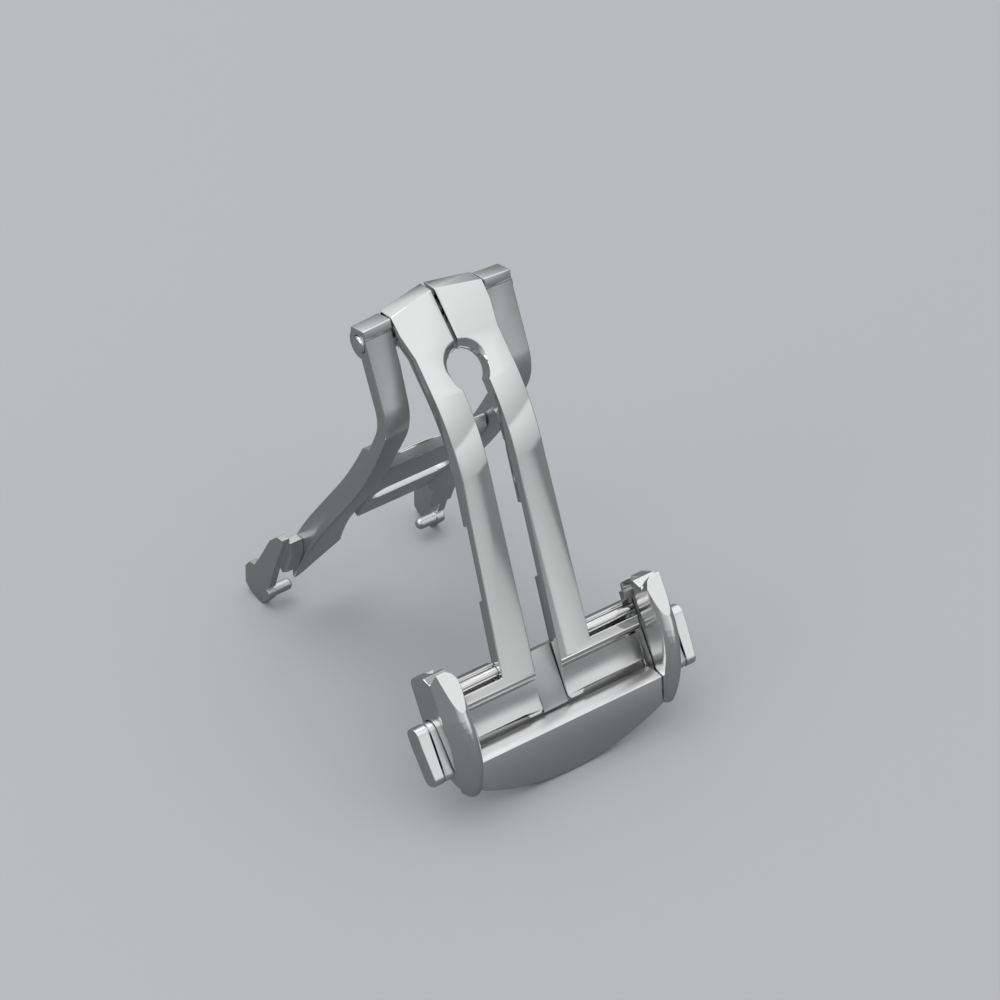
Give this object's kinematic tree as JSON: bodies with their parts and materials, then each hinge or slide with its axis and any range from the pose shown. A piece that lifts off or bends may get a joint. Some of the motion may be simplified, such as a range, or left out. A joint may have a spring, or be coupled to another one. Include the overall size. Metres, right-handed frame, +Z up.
{
  "type": "deployant clasp",
  "caption": "Folding watch-strap clasp with two hinged leaves, a slotted fork, a curved front bar between side rails and a sprung push button on each side",
  "frame": {"origin": "on the table under the middle of the clasp's bounding box, with the clasp standing half open on its front bar and its rear hooks", "axes": "+X along the hinge pin, -Y towards the buckle, +Z up"},
  "size_m": [0.0272, 0.0348, 0.0367],
  "materials": {
    "polished_steel": "mirror polished stainless steel",
    "brushed_steel": "fine brushed stainless steel",
    "frosted_steel": "fine blasted stainless steel",
    "pin_steel": "turned stainless steel"
  },
  "bodies": {
    "front_leaf": {"left_fork_arm": "polished_steel", "right_fork_arm": "polished_steel", "buckle_floor": "frosted_steel", "left_side_rail": "polished_steel", "right_side_rail": "polished_steel", "front_bar": "brushed_steel", "front_bar_pins": "pin_steel", "left_catch_bar": "polished_steel", "right_catch_bar": "polished_steel", "hinge_pin": "pin_steel", "hinge_pin_heads": "polished_steel"},
    "rear_leaf": {"left_rear_arm": "frosted_steel", "right_rear_arm": "frosted_steel", "rear_bridge": "frosted_steel", "left_rear_hook": "frosted_steel", "right_rear_hook": "frosted_steel"},
    "left_button": {"left_button_pad": "polished_steel", "left_button_plate": "brushed_steel", "left_latch_slide": "frosted_steel", "left_button_springs": "pin_steel"},
    "right_button": {"right_button_pad": "polished_steel", "right_button_plate": "brushed_steel", "right_latch_slide": "frosted_steel", "right_button_springs": "pin_steel"}
  },
  "joints": [
    {"name": "fold_hinge", "type": "hinge", "parent": "front_leaf", "child": "rear_leaf", "pos_m": [0, 0.00373, 0.03441], "axis": [1, 0, 0], "range_deg": [-36, 120]},
    {"name": "left_button_press", "type": "slide", "parent": "front_leaf", "child": "left_button", "axis": [1, 0, 0], "range_m": [0, 0.0005], "stiffness_N_per_m": 800, "springref_m": -0.0005},
    {"name": "right_button_press", "type": "slide", "parent": "front_leaf", "child": "right_button", "axis": [-1, 0, 0], "range_m": [0, 0.0005], "stiffness_N_per_m": 800, "springref_m": -0.0005}
  ]
}
